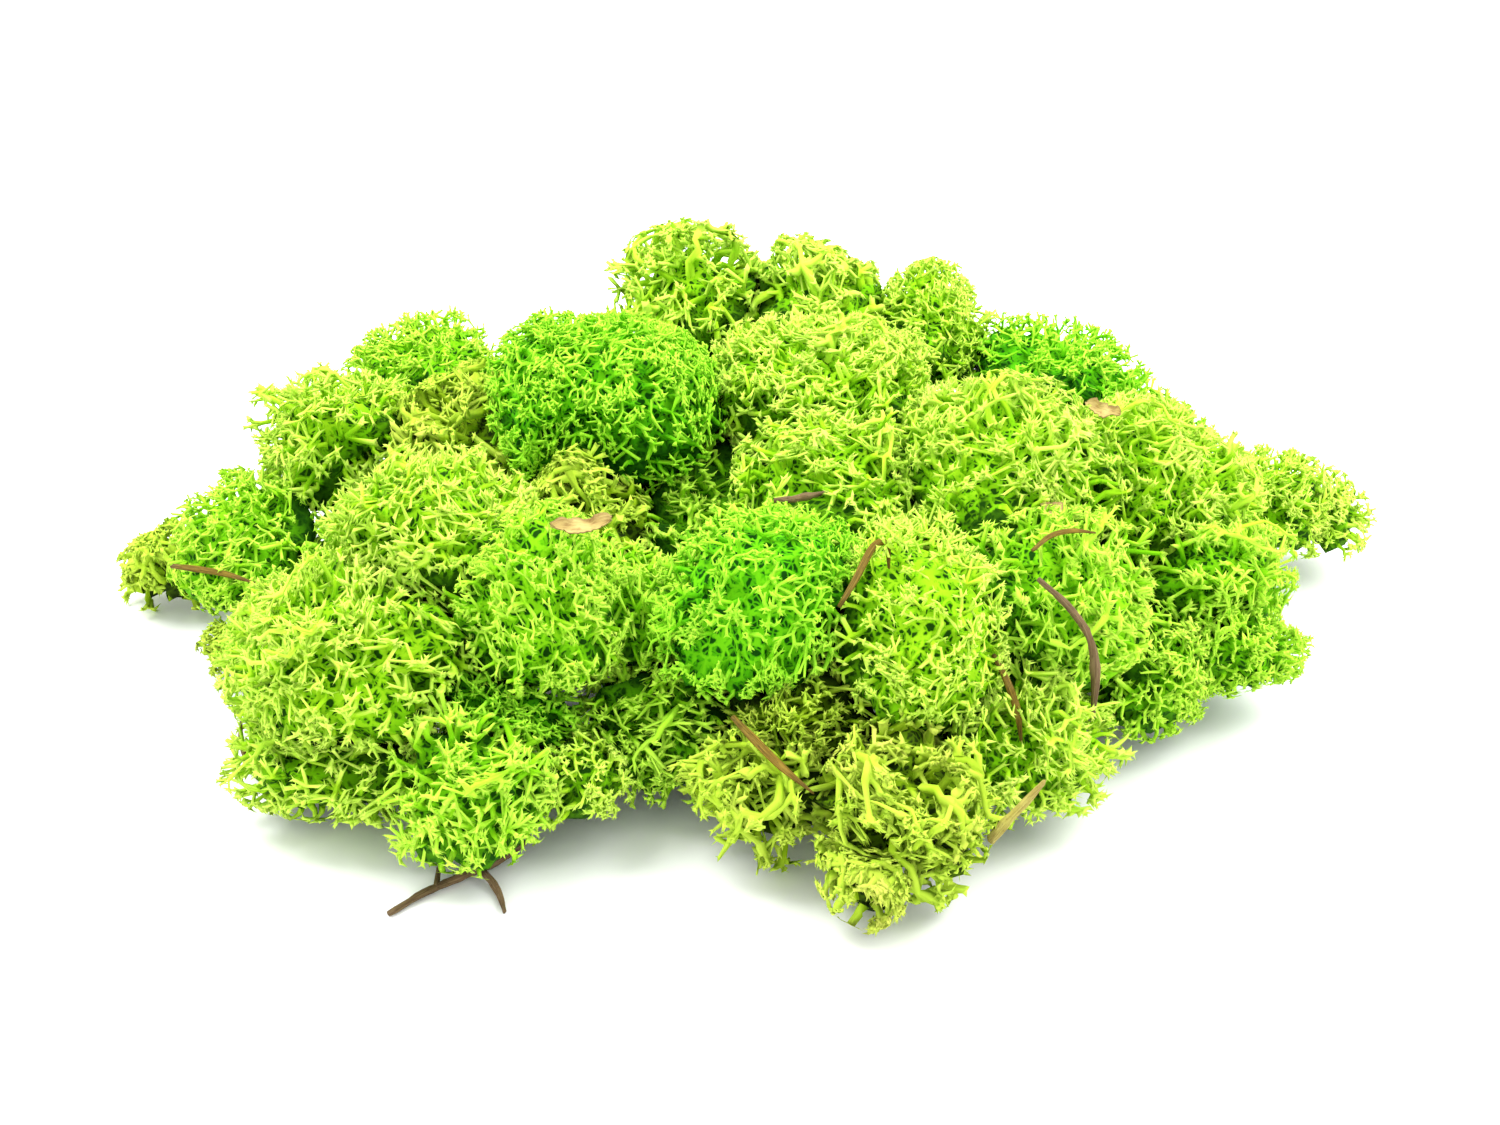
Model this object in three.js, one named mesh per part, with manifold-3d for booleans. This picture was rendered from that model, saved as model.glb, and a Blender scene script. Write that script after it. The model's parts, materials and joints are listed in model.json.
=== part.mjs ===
// A loose clump of preserved reindeer lichen: cushion-shaped heads heaped in two layers, with
// the dry pine needles, twigs and bark flakes that were gathered with them.
// Millimetres, +Z up, X along the length of the clump, origin at the centre of its underside.
import * as THREE from "three";
import Module from "manifold-3d";
import { mergeVertices } from "three/addons/utils/BufferGeometryUtils.js";

const wasm = await Module();
wasm.setup();

// Driving dimensions
const leaning = 0.5; // clear space between two heads that lean on each other
const tipClearance = 0.8; // height at which the lowest free tips end
const seat = 0.4; // clear space under a needle or flake that lies on the lichen
const blend = 4.5; // how softly the outlines of neighbouring heads run into each other
const waveHeight = 0.8; // of the low waves over the clump's skin
const waves = new THREE.Vector3(0.31, 0.27, 0.23); // how fast they turn along X, Y and Z
const fullLean = 0.22; // share of its reach that a wall cuts off before a heart lies flat on it
const grownEvery = 4; // one spray in so many forks twice, and the others once
const flakeThickness = 0.8;

const third = (2 * Math.PI) / 3;
const up = new THREE.Vector3(0, 0, 1);
const toRadians = THREE.MathUtils.degToRad;

// Proportions of a spray, as shares of the room between a head's heart and its skin
const sprayShape = { sunk: 0.22, grownFork: 0.28, youngFork: 0.45, branch: 0.5, tip: 0.5 };

// How each kind of head grows. The solid heart is a share of the head's reach, the rings are the
// half-widths of a spray's stem, of its three branches and of the stubs its tips grow from, and
// the spread is how far a fork opens, in degrees.
const habits = {
  crown: { heart: 0.62, spacing: 14.2, rings: [1.7, 1.35, 1], spread: 42 },
  net: { heart: 0.6, spacing: 14.8, rings: [1.9, 1.5, 1.1], spread: 44 },
  coarse: { heart: 0.56, spacing: 14, rings: [2.2, 1.8, 1.3], spread: 40 },
  under: { heart: 0.74, spacing: 19.5, rings: [2.4, 1.9, 1.4], spread: 42 },
};

const colours = {
  emerald: 0x6ccf20,
  leaf: 0x8ed62c,
  lime: 0xacdc3c,
  olive: 0xb2c440,
  dryNeedle: 0x9a6b32,
  darkTwig: 0x5c4a30,
  flake: 0xc0a468,
};

// name, centre, half lengths along its own X, Y and Z, turn about Z in degrees, habit, colour
const headList = [
  ["front_left_foot", [-81, -66, 15], [25, 18, 17], -12, "net", "lime"],
  ["front_left_toe", [-52, -79, 14], [20, 17, 15], 0, "net", "leaf"],
  ["front_left_bud", [-35, -75, 11], [12, 11, 12], 0, "crown", "lime"],
  ["left_net", [-79, -60, 33], [25, 22, 21], 10, "net", "lime"],
  ["left_crown", [-64, -38, 46], [23, 22, 19], 0, "net", "lime"],
  ["left_ridge", [-43, -53, 42], [16, 20, 22], 0, "crown", "leaf"],
  ["left_cleft", [-48, -64, 24], [15, 14, 15], 0, "crown", "emerald"],
  ["low_valley", [-18, -55, 15], [18, 18, 17], 0, "net", "leaf"],
  ["mid_left", [-24, -42, 29], [18, 18, 17], 0, "net", "leaf"],
  ["centre_dome", [3, -55, 42], [20, 19, 22], 0, "crown", "emerald"],
  ["olive_strip", [10, -65, 25], [16, 14, 17], 0, "crown", "olive"],
  ["centre_right", [32, -59, 40], [19, 21, 23], 0, "crown", "lime"],
  ["front_tip_left", [4, -76, 14], [18, 15, 15], 0, "coarse", "olive"],
  ["front_tip", [27, -90, 16], [19, 17, 17], 0, "coarse", "olive"],
  ["front_toe", [21, -101, 9], [11, 10, 9], 0, "coarse", "olive"],
  ["front_right_foot", [52, -64, 16], [24, 18, 17], 0, "net", "lime"],
  ["right_dome_front", [80, -40, 15], [16, 14, 17], 0, "crown", "leaf"],
  ["right_dome_side", [104, -29, 17], [14, 14, 18], 0, "crown", "leaf"],
  ["right_net", [61, -42, 35], [25, 21, 20], 0, "net", "leaf"],
  ["right_crown", [52, -11, 49], [26, 27, 19], 0, "net", "lime"],
  ["right_back", [86, 2, 37], [24, 28, 19], 0, "net", "lime"],
  ["right_shoulder", [98, -18, 24], [19, 19, 18], 0, "net", "leaf"],
  ["far_right", [120, 28, 17], [19, 15, 17], -15, "crown", "lime"],
  ["far_right_tip", [137, 33, 11], [12, 10, 12], 0, "crown", "lime"],
  ["green_knob", [96, 31, 36], [7, 9, 10], 0, "crown", "emerald"],
  ["back_right_dome", [76, 56, 37], [23, 21, 16], 0, "crown", "emerald"],
  ["back_top_left", [-13, 69, 54], [22, 21, 17], 0, "coarse", "lime"],
  ["back_top_middle", [14, 66, 51], [22, 20, 16], 0, "coarse", "lime"],
  ["back_top_right", [42, 64, 50], [16, 18, 16], 0, "crown", "lime"],
  ["centre_back", [17, 27, 48], [26, 27, 18], 0, "net", "lime"],
  ["centre_middle", [19, -14, 43], [24, 24, 17], 0, "net", "lime"],
  ["emerald_top", [-33, 15, 53], [25, 26, 21], 0, "crown", "emerald"],
  ["olive_valley", [-34, -10, 33], [20, 20, 15], 0, "coarse", "olive"],
  ["left_back_dome", [-75, 56, 39], [23, 20, 16], 0, "crown", "leaf"],
  ["left_hollow", [-62, 20, 37], [20, 24, 15], 0, "coarse", "olive"],
  ["left_shoulder", [-95, 21, 38], [21, 21, 19], 0, "net", "lime"],
  ["left_flank", [-108, 4, 22], [21, 19, 18], 0, "crown", "leaf"],
  ["left_low", [-98, -30, 15], [15, 15, 16], 0, "crown", "leaf"],
  ["left_fringe", [-133, 16, 8], [17, 10, 11], 15, "coarse", "olive"],
  ["left_scrap", [-115.5, -16, 5], [6, 5, 6], 0, "crown", "olive"],
  ["under_left", [-72, 8, 14], [36, 36, 20], 0, "under", "leaf"],
  ["under_middle", [-5, 2, 15], [36, 40, 22], 0, "under", "leaf"],
  ["under_right", [62, 8, 15], [38, 38, 22], 0, "under", "leaf"],
  ["under_back", [12, 60, 22], [40, 34, 26], 0, "under", "lime"],
  ["under_back_left", [-60, 55, 16], [34, 30, 22], 0, "under", "leaf"],
  ["under_back_right", [80, 58, 16], [34, 34, 22], 0, "under", "leaf"],
];

// A seeded stream of numbers from 0 to 1, so that every build draws the same lichen.
function randomFrom(seed) {
  let state = seed;
  return () => {
    state = (state + 0x6d2b79f5) | 0;
    let mixed = Math.imul(state ^ (state >>> 15), 1 | state);
    mixed = (mixed + Math.imul(mixed ^ (mixed >>> 7), 61 | mixed)) ^ mixed;
    return ((mixed ^ (mixed >>> 14)) >>> 0) / 4294967296;
  };
}

// A cushion-shaped head: an ellipsoid that runs softly into its neighbours, in a space of its own.
class Head {
  constructor([name, centre, halfLengths, turn, habit, colour], index) {
    this.name = name;
    this.centre = new THREE.Vector3(...centre);
    this.habit = habits[habit];
    this.colour = colours[colour];
    this.draw = randomFrom(1000 + 37 * index);
    this.meanReach = Math.cbrt(halfLengths[0] * halfLengths[1] * halfLengths[2]);
    this.axes = halfLengths.map((length, k) => {
      const axis = new THREE.Vector3().setComponent(k, 1);
      return { axis: axis.applyAxisAngle(up, toRadians(turn)), length };
    });
  }

  // How far the bare ellipsoid stands out along a direction, measured square to it.
  halfWidth(direction) {
    return Math.hypot(...this.axes.map(({ axis, length }) => length * axis.dot(direction)));
  }

  // How far a point is outside the bare ellipsoid, along the line from its centre.
  outside(point) {
    const leastShare = 0.05; // keeps the centre itself from dividing by zero
    const from = point.clone().sub(this.centre);
    const share = Math.hypot(...this.axes.map(({ axis, length }) => axis.dot(from) / length));
    return (1 - 1 / Math.max(share, leastShare)) * from.length();
  }

  // The flat walls of this head's own space, one halfway to each neighbour by their sizes.
  leanOn(heads) {
    const leastPart = 0.25; // of the span between two centres, that each head keeps
    this.all = heads;
    this.walls = heads
      .filter((other) => other !== this)
      .map((other) => {
        const normal = other.centre.clone().sub(this.centre);
        const span = normal.length();
        normal.divideScalar(span);
        const [mine, theirs] = [this.halfWidth(normal), other.halfWidth(normal)];
        const meeting =
          mine + theirs > span
            ? (span * span + mine * mine - theirs * theirs) / (2 * span)
            : (span + mine - theirs) / 2;
        const kept = THREE.MathUtils.clamp(meeting, leastPart * span, (1 - leastPart) * span);
        return { normal, distance: kept - leaning / 2 };
      });
    this.walls.push({ normal: up.clone().negate(), distance: this.centre.z });
  }

  // How far the nearest wall, or the ground, is in a direction.
  wallAt(direction) {
    const facing = this.walls.filter(({ normal }) => normal.dot(direction) > 0);
    return Math.min(...facing.map(({ normal, distance }) => distance / normal.dot(direction)));
  }

  // How far the clump's outer skin is from this head's centre in a direction.
  reach(direction) {
    const step = 1;
    const farthest = 1.6 * this.halfWidth(direction);
    const at = (distance) => this.centre.clone().addScaledVector(direction, distance);
    let near = 0;
    while (near + step < farthest && this.outsideAll(at(near + step)) <= 0) near += step;
    return near + step / 2 + waveHeight * Math.sin(at(near).dot(waves));
  }

  // How far a point is outside all the heads together, softened where they meet.
  outsideAll(point) {
    const sum = this.all.reduce((total, head) => total + Math.exp(-head.outside(point) / blend), 0);
    return -blend * Math.log(sum);
  }

  // Whether a ball round a point stays in this head's space and off the ground.
  holds(point, ball) {
    const from = point.clone().sub(this.centre);
    return (
      point.z - ball >= tipClearance &&
      this.walls.every(({ normal, distance }) => normal.dot(from) + ball <= distance)
    );
  }

  // The point at a share of the reach in the direction of another point.
  onSkin(point, share) {
    const direction = point.clone().sub(this.centre).normalize();
    return direction.multiplyScalar(share * this.reach(direction)).add(this.centre);
  }
}

// Directions spread evenly over a sphere along a golden spiral.
function evenDirections(count, startTurn) {
  const golden = Math.PI * (3 - Math.sqrt(5));
  return Array.from({ length: count }, (_, k) => {
    const height = 1 - (2 * k + 1) / count;
    const across = Math.sqrt(1 - height * height);
    const turn = startTurn + golden * k;
    return new THREE.Vector3(across * Math.cos(turn), across * Math.sin(turn), height);
  });
}

function solidOf(geometry) {
  const bare = geometry.clone();
  bare.deleteAttribute("normal");
  bare.deleteAttribute("uv");
  const merged = mergeVertices(bare, 1e-4);
  return new wasm.Manifold(
    new wasm.Mesh({
      numProp: 3,
      vertProperties: new Float32Array(merged.attributes.position.array),
      triVerts: new Uint32Array(merged.index.array),
    }),
  );
}

function geometryOf(solid) {
  const mesh = solid.getMesh();
  const geometry = new THREE.BufferGeometry();
  geometry.setAttribute("position", new THREE.BufferAttribute(mesh.vertProperties, 3));
  geometry.setIndex(new THREE.BufferAttribute(mesh.triVerts, 1));
  geometry.computeVertexNormals();
  return geometry;
}

// The matted heart of a head, flat where it leans on a neighbour or rests on the ground.
function heartOf(head) {
  const largeHead = 22;
  const finer = head.meanReach > largeHead && head.habit !== habits.under;
  const geometry = new THREE.IcosahedronGeometry(1, finer ? 2 : 1);
  const places = geometry.attributes.position;
  const direction = new THREE.Vector3();
  for (let k = 0; k < places.count; k++) {
    direction.fromBufferAttribute(places, k).normalize();
    const reach = head.reach(direction);
    const wall = head.wallAt(direction);
    const lean = THREE.MathUtils.smoothstep((reach - wall) / (fullLean * reach), 0, 1);
    const bare = Math.min(head.habit.heart * reach, wall);
    const out = lean > 0 ? THREE.MathUtils.lerp(bare, wall, lean) : bare;
    const place = direction.multiplyScalar(out).add(head.centre);
    places.setXYZ(k, place.x, place.y, place.z);
  }
  return solidOf(geometry);
}

// A mesh that grows from a triangle: each stretch ends in a new triangle, and a fork splits a
// triangle from its raised middle into three, which share their edges and so stay one skin.
class Sprout {
  constructor() {
    this.points = [];
    this.faces = [];
  }

  add(point) {
    this.points.push(point);
    return this.points.length - 1;
  }

  middle(ring) {
    return ring.reduce((sum, k) => sum.add(this.points[k]), new THREE.Vector3()).divideScalar(3);
  }

  root(at, along, halfWidth, startTurn) {
    const side = new THREE.Vector3(1, 0, 0).cross(along);
    if (side.lengthSq() < 0.1) side.set(0, 1, 0).cross(along);
    side.normalize().multiplyScalar(halfWidth);
    const ring = [0, 1, 2].map((k) =>
      this.add(side.clone().applyAxisAngle(along, startTurn + third * k).add(at)),
    );
    this.faces.push([ring[0], ring[2], ring[1]]);
    return ring;
  }

  // A stretch from a ring to a new even triangle, turned to follow the old one without a twist.
  extend(ring, to, halfWidth) {
    const from = this.middle(ring);
    const along = to.clone().sub(from).normalize();
    const lead = this.points[ring[2]].clone().sub(from).projectOnPlane(along);
    lead.normalize().multiplyScalar(halfWidth);
    const next = [1, 2, 0].map((k) =>
      this.add(lead.clone().applyAxisAngle(along, third * k).add(to)),
    );
    this.skin(ring, next);
    return next;
  }

  skin(ring, next) {
    ring.forEach((corner, k) => {
      const other = (k + 1) % 3;
      this.faces.push([corner, ring[other], next[other]], [corner, next[other], next[k]]);
    });
  }

  // Three rings round a raised middle, each with that middle last.
  fork(ring, along, lift) {
    const top = this.add(this.middle(ring).addScaledVector(along, lift));
    return ring.map((corner, k) => [corner, ring[(k + 1) % 3], top]);
  }

  tip(ring, to) {
    const end = this.add(to);
    ring.forEach((corner, k) => this.faces.push([corner, ring[(k + 1) % 3], end]));
  }

  solid() {
    const geometry = new THREE.BufferGeometry().setFromPoints(this.points);
    geometry.setIndex(this.faces.flat());
    return solidOf(geometry);
  }
}

// The way out of a fork through one of its rings: away from the fork's axis by the spread.
function outOf(sprout, ring, along, spread) {
  const [left, right, top] = ring.map((k) => sprout.points[k]);
  const away = left.clone().add(right).multiplyScalar(0.5).sub(top).projectOnPlane(along).normalize();
  return along.clone().multiplyScalar(Math.cos(spread)).addScaledVector(away, Math.sin(spread));
}

// A spray that stands on a head's heart and ends at its skin. A grown one forks into three
// branches, which each fork into two tips, and a young one forks once into three tips.
// A branch with no room ends in a stub, and a whole spray with no room is left out.
function sprayAt(head, direction, young) {
  const { rings, spread, heart } = head.habit;
  const reach = head.reach(direction);
  const room = (1 - heart) * reach;
  const along = (share) => head.centre.clone().addScaledVector(direction, heart * reach + share * room);
  const vary = (least, most) => least + (most - least) * head.draw();
  const open = () => toRadians(spread * vary(0.8, 1.15));
  const small = THREE.MathUtils.clamp(head.meanReach / 16, 0.6, 1);
  const [stemWidth, branchWidth, stubWidth] = rings.map((width) => width * small);
  const forkAt = along(young ? sprayShape.youngFork : sprayShape.grownFork);
  if (!head.holds(forkAt, stemWidth) || !head.holds(along(0.5), stubWidth)) return null;

  const sprout = new Sprout();
  const rootAt = along(-sprayShape.sunk).addScaledVector(direction, -stubWidth);
  const root = sprout.root(rootAt, direction, stemWidth, vary(0, third));
  const stem = sprout.extend(root, forkAt, 1.15 * branchWidth);
  const grow = young ? tipTo : branchTo;
  for (const bud of sprout.fork(stem, direction, 0.5 * stemWidth)) {
    grow(bud, forkAt, outOf(sprout, bud, direction, open()), stemWidth);
  }
  return sprout.solid();

  function branchTo(bud, from, way, stub) {
    const end = shorten(head, from, way, sprayShape.branch * room, branchWidth, 0.5);
    if (!end) {
      sprout.tip(bud, from.clone().addScaledVector(way, stub));
      return;
    }
    const branch = sprout.extend(bud, end, stubWidth);
    const closed = Math.floor(3 * head.draw());
    for (const [k, tipBud] of sprout.fork(branch, way, 0.5 * stubWidth).entries()) {
      if (k === closed) sprout.faces.push(tipBud);
      else tipTo(tipBud, end, outOf(sprout, tipBud, way, open()), branchWidth);
    }
  }

  function tipTo(bud, from, way, stub) {
    const aim = head.onSkin(from.clone().addScaledVector(way, sprayShape.tip * room), vary(0.94, 1.06));
    const length = aim.distanceTo(from);
    const end = shorten(head, from, aim.sub(from).normalize(), length, 0.2, 0.35);
    sprout.tip(bud, end ?? from.clone().addScaledVector(way, stub));
  }
}

// The end of a stretch, pulled back until it fits, or null if less than the least share does.
function shorten(head, from, way, length, ball, leastShare) {
  for (let share = 1; share >= leastShare; share -= 0.08) {
    const end = from.clone().addScaledVector(way, share * length);
    if (head.holds(end, ball)) return end;
  }
  return null;
}

// A head's heart and sprays as one solid, without any scrap that its joining leaves loose.
function headSolid(head) {
  const lowest = -0.5; // sprays don't grow more steeply downwards than this
  const sphereArea = 4 * Math.PI * head.meanReach ** 2;
  const count = Math.max(4, Math.round(sphereArea / head.habit.spacing ** 2));
  const sprays = evenDirections(count, head.draw() * 2 * Math.PI)
    .filter((direction) => direction.z > lowest)
    .map((direction, k) => sprayAt(head, direction, k % grownEvery > 0))
    .filter((spray) => spray);
  const bodies = wasm.Manifold.union([heartOf(head), ...sprays]).decompose();
  return bodies.sort((a, b) => b.volume() - a.volume())[0];
}

// A dry stem, needle or twig: three-sided, through its points with a half-width at each, and
// drawn out to a point at its last one.
function shoot(points, halfWidths) {
  const path = points.map((point) => new THREE.Vector3(...point));
  const sprout = new Sprout();
  const along = path[1].clone().sub(path[0]).normalize();
  let ring = sprout.root(path[0], along, halfWidths[0], Math.PI / 6);
  path.slice(1, -1).forEach((point, k) => {
    ring = sprout.extend(ring, point, halfWidths[k + 1]);
  });
  sprout.tip(ring, path.at(-1));
  return sprout.solid();
}

// A thin bark flake, narrow at both ends, cupped along and across, and turned into place.
function flake(middle, length, width, tilts) {
  const [endWidth, cupAlong, cupAcross] = [0.16, 0.1, 0.12]; // shares of the width and length
  const geometry = new THREE.BoxGeometry(length, width, flakeThickness, 4, 2, 1);
  const places = geometry.attributes.position;
  for (let k = 0; k < places.count; k++) {
    const along = (2 * places.getX(k)) / length;
    const across = (2 * places.getY(k)) / width;
    const cup = cupAlong * length * along ** 2 + cupAcross * width * across ** 2;
    places.setY(k, places.getY(k) * Math.max(endWidth, 1 - along ** 2));
    places.setZ(k, places.getZ(k) + cup);
  }
  geometry.applyMatrix4(new THREE.Matrix4().makeRotationFromEuler(new THREE.Euler(...tilts)));
  return solidOf(geometry.translate(...middle));
}

// Slides a loose piece along a direction until it all but touches what is already there.
function settle(solid, direction, others) {
  const [backedOff, farthest, tolerance, mostSteps] = [30, 90, 0.02, 60];
  const way = new THREE.Vector3(...direction).normalize();
  let moved = -backedOff;
  for (let step = 0; step < mostSteps; step++) {
    const placed = solid.translate(way.clone().multiplyScalar(moved).toArray());
    const gap = placed.minGap(others, farthest);
    if (gap < seat + tolerance) return placed;
    moved += gap - seat;
  }
  throw new Error("a loose piece finds nothing to rest on");
}

const inwards = [0, 0.87, -0.5]; // from the front and above
const down = [0, 0, -1];

// What was gathered with the lichen, and the way that each piece settles against it
const debris = [
  {
    name: "needle_left_fringe",
    colour: colours.dryNeedle,
    solid: shoot([[-121, -2, 15], [-115, -5, 16], [-108, -8, 16.5], [-101, -11, 16]], [0.8, 1, 0.9, 0]),
    towards: [0.3, 0.6, -0.74],
  },
  {
    name: "needle_pair_left",
    colour: colours.dryNeedle,
    solid: wasm.Manifold.union([
      shoot([[-105, -53, 3], [-103, -55.5, 8], [-100, -58, 13], [-96, -61, 18]], [1.1, 1, 0.9, 0]),
      shoot([[-104.5, -53, 3], [-104.5, -55, 8], [-104, -57, 13], [-102.5, -60, 19]], [1, 0.9, 0.8, 0]),
    ]),
    towards: [1, 0.25, 0],
  },
  {
    name: "ground_twig",
    colour: colours.darkTwig,
    solid: wasm.Manifold.union([
      shoot(
        [[-67, -100, 1.1], [-61, -94, 1.3], [-55, -90, 1.6], [-48, -86.5, 2.6], [-43, -83, 4.4]],
        [0.8, 1.1, 1.2, 1.3, 0],
      ),
      shoot([[-59, -93, 1.4], [-58.6, -88, 3], [-55.5, -85.5, 4.6]], [0.9, 0.7, 0]),
      shoot([[-51, -88, 2], [-47.5, -93, 1.4], [-45.5, -99.5, 1.2]], [1.1, 0.9, 0]),
    ]),
    towards: [0, 1, 0],
  },
  {
    name: "needle_front",
    colour: colours.dryNeedle,
    solid: shoot([[-3, -84, 35], [1, -87, 32], [6, -90, 28], [12, -93, 24]], [1, 1.1, 1, 0]),
    towards: inwards,
  },
  {
    name: "needle_dark_middle",
    colour: colours.darkTwig,
    solid: shoot([[5, -36, 70], [8.5, -36.5, 70.5], [12, -36, 71], [16, -34, 71]], [0.8, 1, 0.9, 0]),
    towards: down,
  },
  {
    name: "needle_bent_middle",
    colour: colours.dryNeedle,
    solid: shoot(
      [[17, -78, 56], [20, -75, 60], [23.5, -71, 65], [26, -70, 65], [26.5, -72, 61]],
      [0.8, 1, 1, 0.9, 0],
    ),
    towards: inwards,
  },
  {
    name: "twig_curved_right",
    colour: colours.darkTwig,
    solid: shoot(
      [[55, -66, 54], [60.5, -67, 49], [65, -69, 43], [66.5, -72, 36], [66, -76, 29]],
      [0.9, 1.1, 1.1, 1, 0],
    ),
    towards: inwards,
  },
  {
    name: "needle_right",
    colour: colours.dryNeedle,
    solid: shoot([[46.5, -88, 50], [49, -91, 46], [51, -93.5, 41], [52, -95, 35]], [1, 1.1, 1, 0]),
    towards: inwards,
  },
  {
    name: "stalk_front_right",
    colour: colours.dryNeedle,
    solid: shoot([[44.5, -84, 10], [47, -84, 14], [50, -85, 19], [53, -86, 24.5]], [1.4, 1.4, 1.2, 0]),
    towards: inwards,
  },
  {
    name: "needle_thin_right",
    colour: colours.dryNeedle,
    solid: shoot([[54, -56, 72], [58, -52, 73], [62.5, -50, 73], [67, -49, 72]], [0.7, 0.9, 0.8, 0]),
    towards: down,
  },
  {
    name: "flake_right_crown",
    colour: colours.flake,
    solid: flake([61, -34, 80], 7, 4.6, [0.3, 0.2, -0.6]),
    towards: down,
  },
  {
    name: "flake_right_back",
    colour: colours.flake,
    solid: flake([74, -7, 72], 8, 3.8, [0.5, -0.2, -0.5]),
    towards: down,
  },
  {
    name: "flake_left_ridge",
    colour: colours.flake,
    solid: flake([-32, -57, 74], 12, 3.8, [0.4, 0.1, 0.2]),
    towards: down,
  },
];

const clump = new THREE.Group();

function addPiece(name, solid, colour, roughness) {
  const material = new THREE.MeshStandardMaterial({ color: colour, roughness, metalness: 0 });
  const mesh = new THREE.Mesh(geometryOf(solid), material);
  mesh.name = name;
  clump.add(mesh);
}

const heads = headList.map((row, index) => new Head(row, index));
heads.forEach((head) => head.leanOn(heads));
const lichen = heads.map(headSolid);
heads.forEach((head, k) => addPiece(head.name, lichen[k], head.colour, 0.9));

let placed = wasm.Manifold.compose(lichen);
for (const { name, colour, solid, towards } of debris) {
  const settled = settle(solid, towards, placed);
  placed = wasm.Manifold.compose([placed, settled]);
  addPiece(name, settled, colour, 0.8);
}

const box = new THREE.Box3().setFromObject(clump);
const middle = box.getCenter(new THREE.Vector3());
clump.position.set(-middle.x, -middle.y, -box.min.z);

export default clump;
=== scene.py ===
import json
import math
import random

import bmesh
import bpy
import numpy as np
from mathutils import Matrix, Vector, noise
from mathutils.bvhtree import BVHTree


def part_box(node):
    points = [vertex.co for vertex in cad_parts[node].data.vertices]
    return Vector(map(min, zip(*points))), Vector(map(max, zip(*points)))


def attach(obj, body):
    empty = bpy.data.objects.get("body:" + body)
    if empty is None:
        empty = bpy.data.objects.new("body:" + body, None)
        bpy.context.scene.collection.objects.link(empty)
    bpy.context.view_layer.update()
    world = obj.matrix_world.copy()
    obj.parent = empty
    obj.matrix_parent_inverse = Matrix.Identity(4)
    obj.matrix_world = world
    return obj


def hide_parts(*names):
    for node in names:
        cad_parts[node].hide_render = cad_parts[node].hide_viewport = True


# The looks of a loose clump of preserved reindeer lichen: every head is grown here as thousands
# of fine forked branches inside the space that its CAD solid holds.

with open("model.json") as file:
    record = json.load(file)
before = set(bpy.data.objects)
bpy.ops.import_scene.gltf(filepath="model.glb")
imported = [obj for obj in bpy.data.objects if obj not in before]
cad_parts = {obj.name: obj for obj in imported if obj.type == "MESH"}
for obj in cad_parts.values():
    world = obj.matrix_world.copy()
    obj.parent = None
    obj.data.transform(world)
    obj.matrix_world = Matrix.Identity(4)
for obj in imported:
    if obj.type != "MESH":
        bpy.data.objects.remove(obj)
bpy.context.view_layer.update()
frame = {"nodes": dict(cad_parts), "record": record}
mm = 0.001
print("frame loaded:", len(frame["nodes"]), "nodes")

# Camera: level with the horizon, looking 30 degrees down on the clump from the front
view = {
    "aim": Vector((-0.16 * mm, 7.83 * mm, 20 * mm)),
    "distance": 463 * mm,
    "pitch": math.radians(30),
    "lens": 50,
    "sensor": 36,
}

cameraData = bpy.data.cameras.new("camera")
cameraData.lens = view["lens"]
cameraData.sensor_width = view["sensor"]
cameraData.clip_start = 0.01
cameraData.clip_end = 20
camera = bpy.data.objects.new("camera", cameraData)
bpy.context.scene.collection.objects.link(camera)
lookAlong = Vector((0, math.cos(view["pitch"]), -math.sin(view["pitch"])))
camera.location = view["aim"] - lookAlong * view["distance"]
camera.rotation_euler = (math.pi / 2 - view["pitch"], 0, 0)
bpy.context.scene.camera = camera


# Shader maths as plain expressions
class Socket:
    def __init__(self, tree, value):
        self.tree = tree
        self.value = value

    def math(self, operation, *others):
        values = [self.value] + [o.value if isinstance(o, Socket) else o for o in others]
        node = self.tree.nodes.new("ShaderNodeMath")
        node.operation = operation
        for entry, value in zip(node.inputs, values):
            if isinstance(value, (int, float)):
                entry.default_value = value
            else:
                self.tree.links.new(value, entry)
        return Socket(self.tree, node.outputs[0])

    def __add__(self, other):
        return self.math("ADD", other)

    def __radd__(self, other):
        return self.math("ADD", other)

    def __sub__(self, other):
        return self.math("SUBTRACT", other)

    def __rsub__(self, other):
        return Socket(self.tree, other).math("SUBTRACT", self)

    def __mul__(self, other):
        return self.math("MULTIPLY", other)

    def __rmul__(self, other):
        return self.math("MULTIPLY", other)

    def __pow__(self, other):
        return self.math("POWER", other)

    def clamp(self):
        return self.math("MAXIMUM", 0.0).math("MINIMUM", 1.0)

    # 0 below low, 1 above high, and even between them
    def between(self, low, high):
        return ((self - low) * (1 / (high - low))).clamp()


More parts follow.
